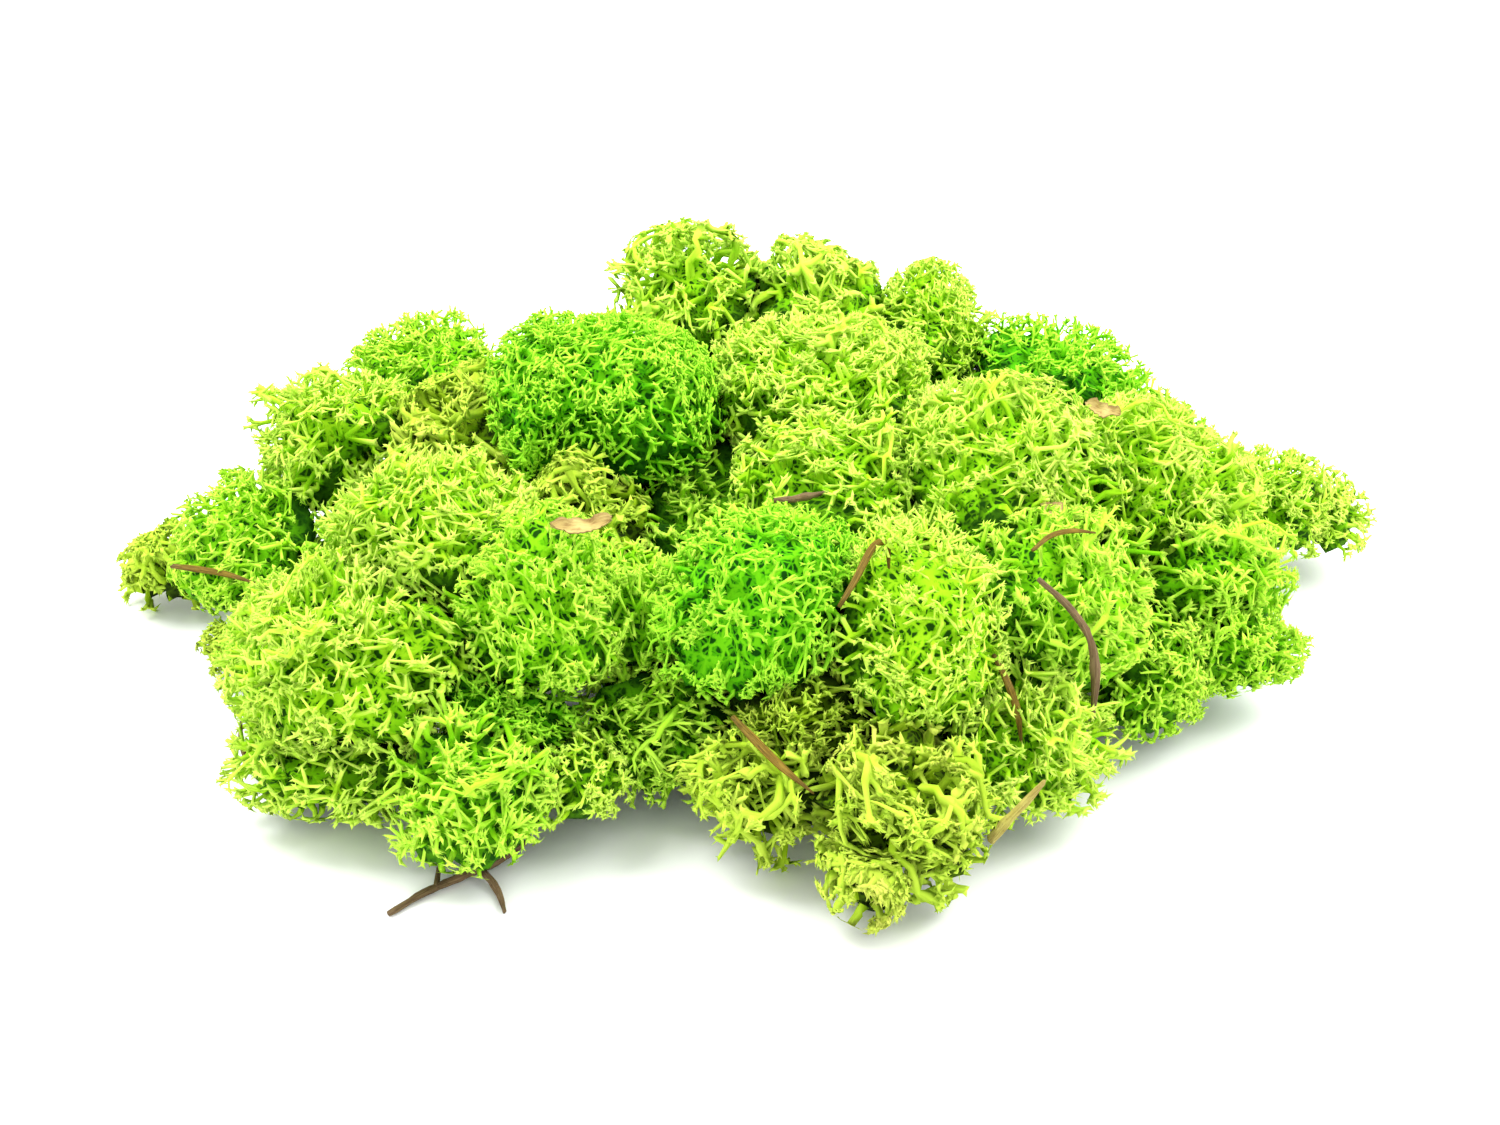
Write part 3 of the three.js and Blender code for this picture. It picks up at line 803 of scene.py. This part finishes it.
def addRod(shape, points, widths, kind, draw):
    along = shape.verts.layers.float["along"]
    around = shape.verts.layers.float["around"]
    line = smoothLine(points, widths)
    made = bmesh.ops.create_circle(shape, cap_ends=True, radius=1, segments=kind["sides"])["verts"]
    for k, vertex in enumerate(made):
        vertex[around] = k / kind["sides"]
        vertex.co.y *= kind["flat"]
        if vertex.co.y > 0.3 and abs(vertex.co.x) < 0.5:
            vertex.co.y -= kind["groove"]
    cap = made[0].link_faces[0]
    caps = [cap]
    ring = list(made)
    frameNow = Matrix.Identity(4)
    for k, (place, width) in enumerate(line):
        towards = (line[min(k + 1, len(line) - 1)][0] - line[max(k - 1, 0)][0]).normalized()
        size = width * (1 + kind["rough"] * draw.uniform(-0.6, 0.6))
        frameNext = sectionFrame(place, towards, size, kind["twist"] * k / len(line))
        if k > 0:
            extruded = bmesh.ops.extrude_face_region(shape, geom=[cap])["geom"]
            cap = next(part for part in extruded if isinstance(part, bmesh.types.BMFace))
            ring = list(cap.verts)
        bmesh.ops.transform(shape, matrix=frameNext @ frameNow.inverted(), verts=ring)
        for vertex in ring:
            vertex[along] = 0.03 + 0.94 * k / (len(line) - 1)
            vertex.co += (vertex.co - place) * kind["rough"] * draw.uniform(-0.5, 0.5)
        frameNow = frameNext
    caps.append(cap)
    for face, share, way in zip(caps, (0.0, 1.0), (-1, 1)):
        normal = (line[-1][0] - line[-2][0]) if way > 0 else (line[0][0] - line[1][0])
        point = bmesh.ops.poke(shape, faces=[face])["verts"][0]
        point.co += normal.normalized() * widths[0 if way < 0 else -1] * (0.15 if way < 0 else 1.5)
        point[along] = share
        point[around] = 0.5


def pieceOf(shape, name, material, replaced=None):
    bmesh.ops.recalc_face_normals(shape, faces=shape.faces)
    mesh = bpy.data.meshes.new(name)
    shape.to_mesh(mesh)
    shape.free()
    mesh.shade_smooth()
    mesh.materials.append(material)
    piece = bpy.data.objects.new(name, mesh)
    bpy.context.scene.collection.objects.link(piece)
    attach(piece, "root")
    if replaced:
        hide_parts(replaced)
    return piece


# Sets a shape in the middle of a CAD solid's place
def centreOn(shape, box):
    low = Vector([min(vertex.co[axis] for vertex in shape.verts) for axis in range(3)])
    high = Vector([max(vertex.co[axis] for vertex in shape.verts) for axis in range(3)])
    shift = (Vector(box[0]) + Vector(box[1])) / 2 - (low + high) / 2
    bmesh.ops.translate(shape, vec=shift, verts=shape.verts)


# The map runs along a rod and round it, with its seam under the rod
def mapRod(shape):
    along = shape.verts.layers.float["along"]
    around = shape.verts.layers.float["around"]
    place = shape.loops.layers.uv.new("OFBake")
    for face in shape.faces:
        turns = [loop.vert[around] for loop in face.loops]
        seam = max(turns) - min(turns) > 0.55
        for loop, turn in zip(face.loops, turns):
            turn = turn + 1 if seam and turn < 0.45 else turn
            loop[place].uv = (min(max(loop.vert[along], 0.005), 0.995), min(0.01 + 0.98 * turn, 0.99))


# Dry wood: lengthwise streaks over a colour that changes from the thick end to the point
def rodFinish(name, stops, streak, roughness):
    finish = Finish(name, roughness, Specular_IOR_Level=0.12)
    place = finish.node("UVMap", {"uv_map": "OFBake"})
    parts = finish.node("SeparateXYZ", Vector=place.outputs["UV"])
    course = finish.node("ValToRGB", {"stops": stops}, Fac=parts.outputs["X"])
    long = finish.node("Mapping", Vector=place.outputs["UV"], Scale=(5.0, 26.0, 1.0))
    grain = finish.node("TexNoise", Vector=long.outputs["Vector"], Scale=1.0, Detail=3.0)
    spots = finish.node("Mapping", Vector=place.outputs["UV"], Scale=(30.0, 12.0, 1.0))
    blotch = finish.node("TexNoise", Vector=spots.outputs["Vector"], Scale=1.0, Detail=2.0)
    streaks = finish.socket(grain.outputs["Fac"]).between(0.42, 0.62)
    dark = finish.socket(blotch.outputs["Fac"]).between(0.55, 0.75)
    body = finish.mix(streaks * 0.7, course.outputs["Color"], streak["light"])
    finish.set("Base Color", finish.mix(dark * 0.6, body, streak["dark"]))
    bump = finish.node("Bump", Strength=0.4, Distance=0.0003, Height=grain.outputs["Fac"])
    finish.set("Normal", bump.outputs["Normal"])
    return finish.material


rodMaterials = {
    "needle": rodFinish(
        "dry_needle",
        [(0, (46, 36, 12)), (0.15, (82, 66, 20)), (0.6, (102, 80, 22)), (1, (52, 36, 12))],
        {"light": (150, 124, 44), "dark": (42, 32, 12)},
        0.55,
    ),
    "twig": rodFinish(
        "dark_twig",
        [(0, (84, 66, 46)), (0.5, (110, 88, 60)), (1, (72, 54, 38))],
        {"light": (142, 122, 88), "dark": (46, 36, 28)},
        0.8,
    ),
    "stalk": rodFinish(
        "green_stalk",
        [(0, (110, 92, 50)), (0.4, (156, 146, 66)), (1, (136, 112, 60))],
        {"light": (188, 180, 96), "dark": (104, 82, 46)},
        0.6,
    ),
}

for seed, (name, values) in enumerate(rods.items()):
    kind = rodKinds[values["kind"]]
    draw = random.Random(70 + seed)
    shape = bmesh.new()
    for layerName in ("along", "around"):
        shape.verts.layers.float.new(layerName)
    for points, widths in values["shoots"]:
        addRod(shape, points, widths, kind, draw)
    bmesh.ops.scale(shape, vec=(mm, mm, mm), verts=shape.verts)
    centreOn(shape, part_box(name))
    bmesh.ops.translate(shape, vec=Vector(values.get("lifted", (0, 0, 0))) * mm, verts=shape.verts)
    mapRod(shape)
    pieceOf(shape, name + "_grown", rodMaterials[values["kind"]], name)
print("rods:", len(rods))

# Papery bark flakes: thin, ragged at the edge and cupped
flakes = {
    "flake_right_crown": {"length": 6.8, "width": 4.4, "turn": (0.3, 0.2, -0.6)},
    "flake_right_back": {"length": 7.8, "width": 3.6, "turn": (0.5, -0.2, -0.5)},
    "flake_left_ridge": {"length": 11.6, "width": 3.6, "turn": (0.4, 0.1, 0.2)},
}


def flakeFinish():
    finish = Finish("bark_flake", 0.7, Specular_IOR_Level=0.25)
    place = finish.node("UVMap", {"uv_map": "OFBake"})
    long = finish.node("Mapping", Vector=place.outputs["UV"], Scale=(3.0, 16.0, 1.0))
    vein = finish.node("TexNoise", Vector=long.outputs["Vector"], Scale=1.0, Detail=4.0)
    blotch = finish.node("TexNoise", Vector=place.outputs["UV"], Scale=5.0, Detail=3.0)
    veins = finish.socket(vein.outputs["Fac"]).between(0.45, 0.65)
    brown = finish.socket(blotch.outputs["Fac"]).between(0.5, 0.68)
    pale = finish.mix(veins * 0.6, (190, 170, 104), (156, 128, 70))
    across = finish.node("SeparateXYZ", Vector=place.outputs["UV"]).outputs["Y"]
    rim = (finish.socket(across) - 0.5).math("ABSOLUTE").between(0.36, 0.49)
    stained = finish.mix(brown * 0.7, pale, (132, 94, 52))
    finish.set("Base Color", finish.mix(rim * 0.6, stained, (104, 66, 36)))
    bump = finish.node("Bump", Strength=0.5, Distance=0.0003, Height=vein.outputs["Fac"])
    finish.set("Normal", bump.outputs["Normal"])
    return finish.material


flakeMaterial = flakeFinish()
for seed, (name, values) in enumerate(flakes.items()):
    length, width = values["length"], values["width"]
    shape = bmesh.new()
    bmesh.ops.create_grid(shape, x_segments=30, y_segments=10, size=1)
    place = shape.loops.layers.uv.new("OFBake")
    for face in shape.faces:
        for loop in face.loops:
            loop[place].uv = (0.5 + 0.49 * loop.vert.co.x, 0.5 + 0.49 * loop.vert.co.y)
    for vertex in shape.verts:
        x, y = vertex.co.x, vertex.co.y
        edge = Vector((x * 2.2, math.copysign(1.7, y), seed * 7.0))
        ragged = 1 + 0.55 * noise.noise(edge) + 0.28 * noise.noise(edge * 4.3)
        outline = math.sqrt(max(0.02, 1 - abs(x) ** 2.4)) * ragged
        slant = 1 + 0.12 * noise.noise(Vector((y * 2.5, 9.0, seed * 5.0)))
        cup = 0.1 * length * x * x + 0.2 * width * y * y + 0.09 * width * math.sin(5 * x + 2 * y + seed)
        vertex.co = Vector((x * length * slant / 2, y * outline * width / 2, cup))
    bmesh.ops.solidify(shape, geom=shape.faces, thickness=0.25)
    tilt = values["turn"]
    turned = Matrix.Rotation(tilt[0], 3, "X") @ Matrix.Rotation(tilt[1], 3, "Y")
    bmesh.ops.rotate(shape, matrix=turned @ Matrix.Rotation(tilt[2], 3, "Z"), verts=shape.verts)
    bmesh.ops.scale(shape, vec=(mm, mm, mm), verts=shape.verts)
    centreOn(shape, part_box(name))
    pieceOf(shape, name + "_grown", flakeMaterial, name)
print("flakes:", len(flakes))

# Floor and light
floorMesh = bpy.data.meshes.new("floor")
floorShape = bmesh.new()
bmesh.ops.create_grid(floorShape, x_segments=1, y_segments=1, size=6)
floorShape.to_mesh(floorMesh)
floorShape.free()
floor = bpy.data.objects.new("floor", floorMesh)
bpy.context.scene.collection.objects.link(floor)
floorFinish = Finish("floor", 0.6, Base_Color=linear((250, 250, 252)))
floorMesh.materials.append(floorFinish.material)

world = bpy.data.worlds.new("studio")
world.use_nodes = True
world.node_tree.nodes["Background"].inputs[0].default_value = (1, 1, 1, 1)
world.node_tree.nodes["Background"].inputs[1].default_value = 1.32
bpy.context.scene.world = world

lights = {
    "key": {"place": (-0.5, 0.15, 0.9), "size": 0.6, "watts": 11},
    "fill": {"place": (0.6, 0.1, 0.7), "size": 0.7, "watts": 9},
}
for name, values in lights.items():
    lamp = bpy.data.lights.new(name, "AREA")
    lamp.size = values["size"]
    lamp.energy = values["watts"]
    lampObject = bpy.data.objects.new(name, lamp)
    lampObject.location = values["place"]
    away = Vector(values["place"]) - view["aim"]
    lampObject.rotation_euler = away.to_track_quat("Z", "Y").to_euler()
    bpy.context.scene.collection.objects.link(lampObject)

bpy.context.scene.view_settings.view_transform = "Standard"
